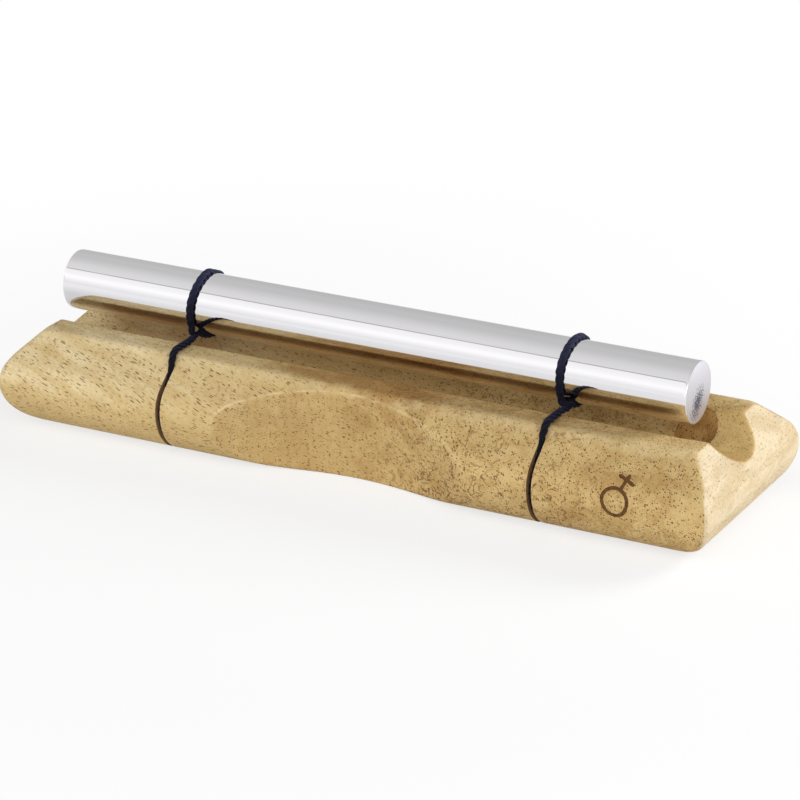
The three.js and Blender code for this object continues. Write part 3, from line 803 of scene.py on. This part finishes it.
def half_track(sign, kerf, land, shoulder, foot):
    """Stations of the fixed cord on one side, from the trough's rim over the shoulder and into the kerf.
    land, shoulder and foot are its places along the base before it enters the kerf."""
    track = []

    def put(x, y, z, wide, high, angle):
        ny, nz = math.cos(angle), math.sin(angle)
        track.append((x, sign * (y + high * ny), z + high * nz, wide, high, 0, sign * ny, nz))

    up = math.pi / 2
    put(land, 14.3, HEIGHT, 1.3, 1.1, up)
    put(land, 19.0, HEIGHT, 1.3, 1.1, up)
    for share in (0.0, 0.35, 0.7, 1.0):
        angle = up + (TURN - up) * share
        y, z = SHOULDER_Y + SHOULDER_R * math.cos(angle), SHOULDER_Z + SHOULDER_R * math.sin(angle)
        put(land + (shoulder - land) * share, y, z, 1.3, 1.08, angle)
    put(foot, on_face(29.6), 29.6, 1.2, 1.0, TURN)
    n = np.array([math.cos(TURN), math.sin(TURN)])
    top = np.array([on_face(KERF_TOP), KERF_TOP])
    deep, belly = top - KERF_DROP * n, np.array([BELLY_W - KERF_D, BELLY_H])
    lean = math.atan2(belly[0] - deep[0], deep[1] - belly[1])
    put(kerf - 0.05, *(top - 0.35 * n), 0.95, 0.9, TURN)
    # in the kerf the cord is squeezed to a band that stands on edge
    for share in (0.06, 0.3, 0.6, 0.9):
        put(kerf, *(deep + (belly - deep) * share), 0.84, 1.5, lean)
    for angle in np.linspace(0, -math.pi / 2, 12):
        y = BELLY_W - BELLY_H + (BELLY_H - KERF_D) * math.cos(angle)
        put(kerf, y, BELLY_H + (BELLY_H - KERF_D) * math.sin(angle), 0.84, 1.5, angle)
    return track


def round_rod(x, degrees, wide=1.3, high=0.93, outward=1):
    """A station that lies on the rod, at an angle round it from the back."""
    a = math.radians(degrees)
    r = ROD_R + high
    ny, nz = math.cos(a), math.sin(a)
    return (x, r * ny, ROD_Z + r * nz, wide, high, 0, outward * ny, outward * nz)


def nearest(path, station, start, end):
    """Index of the station of path[start:end] nearest to a station."""
    return start + int(np.argmin(np.linalg.norm(path[start:end, :3] - np.array(station[:3]), axis=1)))


# places over the trough where the strands pass from the base to the sling; the stretches carry them, but nothing
# follows them
RIM_Y, FRONT_Y, CRADLE_Y, BLEND_Z = 14.0 * MM, -10.5 * MM, 4.0 * MM, 33 * MM


def make_fixed_cord(side, kerf, front, step, sides):
    """The cord from its knot over the front land, round the base in its kerf, and under the rod back to the knot.
    Returns its length."""
    knot_x, land, shoulder, foot = (kerf + d for d in front)
    up = (0, 0, 1)
    under_knot = [
        (knot_x, -7.9, 33.5, 1.1, 0.9, *up),
        (knot_x, -8.6, 32.45, 1.15, 0.9, *up),
        (knot_x, -10.0, 32.4, 1.2, 0.9, *up),
        (knot_x + 0.5 * (land - knot_x), -12.2, 32.9, 1.25, 1.0, *up),
    ]
    front_half = half_track(-1, kerf, land, shoulder, foot)
    back_half = half_track(1, kerf, kerf - 1.0, kerf - 0.6, kerf - 0.3)
    cradle = [(kerf - 2.2, 5.0, 31.35, 1.2, 1.0, *up)]
    for degrees, shift in ((-82, 2.6), (-95, 2.9), (-108, 3.0), (-120, 2.6), (-132, 2.1)):
        cradle.append(round_rod(kerf - shift, degrees, 1.15, 0.93, -1))
    track = under_knot + front_half + list(reversed(back_half)) + cradle
    path = cord_path(track, step)
    rings, s = cord_rings(path, sides)
    # the fixed stretch runs between the second stations of the two halves, on the land
    on_front_land = track[len(under_knot) + 1]
    on_back_land = track[len(under_knot) + len(front_half) + len(back_half) - 2]
    first = nearest(path, on_front_land, 0, len(path) // 3)
    last = nearest(path, on_back_land, len(path) // 2, len(path))
    front_span = ("base", "sling", (0, -RIM_Y, BLEND_Z), (0, FRONT_Y, BLEND_Z))
    cradle_span = ("base", "sling", (0, RIM_Y, BLEND_Z), (0, CRADLE_Y, BLEND_Z))
    cord_object(side + "_cord_front", rings[: first + 1], s[: first + 1], side + "_front_span", blend=front_span)
    cord_object(side + "_cord_in_kerf", rings[first : last + 1], s[first : last + 1], side + "_kerf_cord", "base")
    cord_object(side + "_cord_cradle", rings[last:], s[last:], side + "_cradle_strand", blend=cradle_span)
    return s[-1]


def make_loop(side, kerf, loop, tip, step, sides):
    """The cord's cut tail, its knot in front of the rod, and the loop round the rod. Returns their length."""
    edge, end = kerf + loop[0][1], kerf + tip
    tail = [
        (end, -10.0, 34.5, 0.25, 0.25, 0, -1, 0.2),
        (end - 0.4, -10.0, 34.3, 0.8, 0.75, 0, -1, 0.2),
        (end - 0.9, -10.0, 34.0, 1.2, 1.15, 0, -1, 0),
        (0.5 * (end - 0.9 + edge + 0.6), -9.85, 33.5, 1.25, 1.2, 0, -1, 0),
        (edge + 0.5, -9.5, 33.3, 1.25, 1.15, 0, -1, -0.5),
        (edge + 0.1, -9.2, 34.2, 1.3, 1.0, 0, -1, -0.7),
    ]
    turns = [round_rod(kerf + shift, degrees) for degrees, shift in loop]
    path = cord_path(tail + turns, step)
    rings, s = cord_rings(path, sides)
    split = nearest(path, turns[0], 0, len(path) // 2) + 1
    cord_object(side + "_cord_tail_knot", rings[: split + 1], s[: split + 1], side + "_knot", "sling")
    cord_object(side + "_cord_loop", rings[split:], s[split:], side + "_rod_loop", "sling")
    return s[-1]


def make_sling(side, kerf, front, loop, tip):
    """front gives where the cord lies along the base, from the kerf: at the knot, on the land, on the shoulder
    and at the kerf's mouth. loop gives (degrees round the rod, distance from the kerf), and tip the tail's end."""
    step, sides = ((0.28, 30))
    fixed = make_fixed_cord(side, kerf, front, step, sides)
    tied = make_loop(side, kerf, loop, tip, step, sides)
    print("cord", side, "fixed and cradle %.0f mm, loop and tail %.0f mm" % (fixed, tied))


LEFT_LOOP = [
    (214, -4.0), (202, -3.8), (189, -3.75), (169, -3.55), (156, -3.3), (136, -2.95), (113, -2.65),
    (90, -2.75), (45, -2.7), (0, -1.8), (-45, -1.6), (-90, -1.5), (-112, -1.8), (-134, -2.1),
]
RIGHT_LOOP = [
    (214, -3.0), (197, -3.1), (164, -3.1), (145, -2.95), (123, -2.65), (98, -2.4), (70, -2.5),
    (45, -2.4), (0, -1.8), (-45, -1.3), (-90, -0.9), (-112, -0.9), (-134, -0.8),
]
make_sling("left", KERF_X[0], (-2.9, -1.4, -0.95, -0.3), LEFT_LOOP, -2.5)
make_sling("right", KERF_X[1], (-0.4, -0.65, -0.4, -0.2), RIGHT_LOOP, 1.8)


# ---------------------------------------------------------------- floor
FLOOR_GLOW = 0.7  # share of plain white in the floor that the camera sees round the object
FLOOR_HALF, FLOOR_Z = 4.0, -0.0001  # metres: half its side, and its height just below the base
WHITE = {"Color": (1, 1, 1), "Strength": 1.0}


def plain_floor():
    """A white floor. Near the object it takes shade, and further out the camera and the rod see it as white."""
    t = Nodes(bpy.data.materials.new("floor"))
    _, x, y, _ = t.place()
    reach = t.length(x, y)
    ray = t.new("LightPath").outputs
    grey = t.node("BsdfDiffuse", {"Color": (0.86, 0.86, 0.86)})
    pale = t.node("Emission", {"Color": (0.88, 0.88, 0.90), "Strength": 1.0})
    mirrored = t.mul(ray["Is Glossy Ray"], t.ramp(reach, 150.0, 330.0, 0.4, 1.0))
    unseen = t.node("MixShader", {0: mirrored, 1: grey, 2: pale})
    lit = t.node("BsdfDiffuse", {"Color": (1, 1, 1)})
    far = t.ramp(reach, 170.0, 330.0, FLOOR_GLOW, 1.0)
    shown = t.node("MixShader", {0: far, 1: lit, 2: t.node("Emission", WHITE)})
    out = t.node("MixShader", {0: ray["Is Camera Ray"], 1: unseen, 2: shown})
    t.feed(t.tree.nodes["Material Output"].inputs["Surface"], out)
    return t.owner


corners = [(x * FLOOR_HALF, y * FLOOR_HALF, 0) for x, y in ((-1, -1), (1, -1), (1, 1), (-1, 1))]
floor = add_object("floor", mesh_from("floor", corners, [(0, 1, 2, 3)]))
floor.location.z = FLOOR_Z
floor.data.materials.append(plain_floor())

# ---------------------------------------------------------------- light
# brightness round the rod's axis, from the front horizon (0 degrees) over the top (90) to the back horizon (180)
GAP = 0.45  # a narrow dark gap between the front softbox and the one overhead
SKY = [
    (0, 0.93), (6, 0.99), (13, 1.06), (21, 1.17), (28, 1.18), (35, 1.11), (43, 1.07), (52.8, 1.05), (53.4, GAP),
    (55.8, GAP), (56.4, 0.845), (65, 0.83), (73, 0.81), (81, 0.785), (89, 0.735), (98, 0.695), (107, 0.65),
    (117, 0.62), (128, 0.63), (140, 0.605), (155, 0.58), (180, 0.57),
]
# what lights the object: one brightness from the front up to 50 degrees, another from 85 degrees to the back
SOFT_LIGHT, SOFT_FROM, SOFT_TO = (1.62, 0.15), math.radians(50), math.radians(85)
SOFTBOX_SLOPE = math.radians(33)  # the front softbox hangs a little lower at its right end
STUDIO_STRENGTH = 0.9


def sky_tint(degrees, value):
    if value == GAP:
        return (1.0, 0.93, 0.90)
    return (0.985, 0.985, 1.0) if degrees < 10 else (1.0, 0.995, 1.0)


def make_sky():
    """Softboxes for what the rod mirrors, a soft light from the front for the rest, and white to the camera."""
    world = bpy.data.worlds.new("world")
    bpy.context.scene.world = world
    t = Nodes(world)
    t.tree.nodes.clear()
    way = t.split(t.node("TexCoord", out=0))
    angle = t.math("ARCTAN2", way[2], t.mul(way[1], -1.0))
    shown = t.mad(t.add(way[0], 0.5), SOFTBOX_SLOPE, angle)
    bands = t.new("ValToRGB")
    t.feed(bands.inputs[0], t.ramp(shown, 0.0, math.pi, kind="LINEAR"))
    marks = bands.color_ramp.elements
    while len(marks) > 1:
        marks.remove(marks[-1])
    for i, (degrees, value) in enumerate(SKY):
        mark = marks.new(degrees / 180.0) if i else marks[0]
        mark.position = degrees / 180.0
        mark.color = (*(value * c for c in sky_tint(degrees, value)), 1.0)
    ray = t.new("LightPath").outputs
    front = t.ramp(angle, SOFT_FROM, SOFT_TO, *SOFT_LIGHT)
    level = t.mix(ray["Is Glossy Ray"], t.xyz(front, front, front), bands.outputs[0])
    studio = t.node("Background", {"Color": level, "Strength": STUDIO_STRENGTH})
    plain = t.node("Background", WHITE)
    out = t.node("MixShader", {0: ray["Is Camera Ray"], 1: studio, 2: plain})
    t.feed(t.new("OutputWorld").inputs["Surface"], out)


def area(name, place, size, energy):
    """A square area lamp at a place in metres, turned to the middle of the object."""
    light = bpy.data.lights.new(name, "AREA")
    light.shape, light.size, light.size_y, light.energy = "RECTANGLE", size, size, energy
    obj = add_object(name, light)
    obj.location = place
    obj.rotation_euler = (Vector((0, 0, 0.02)) - Vector(place)).to_track_quat("-Z", "Y").to_euler()


make_sky()
area("key", (1.15, 1.15, 0.75), 0.7, 26)
area("fill", (0.85, -1.45, 0.85), 0.9, 4)
bpy.context.scene.view_settings.view_transform = "Standard"
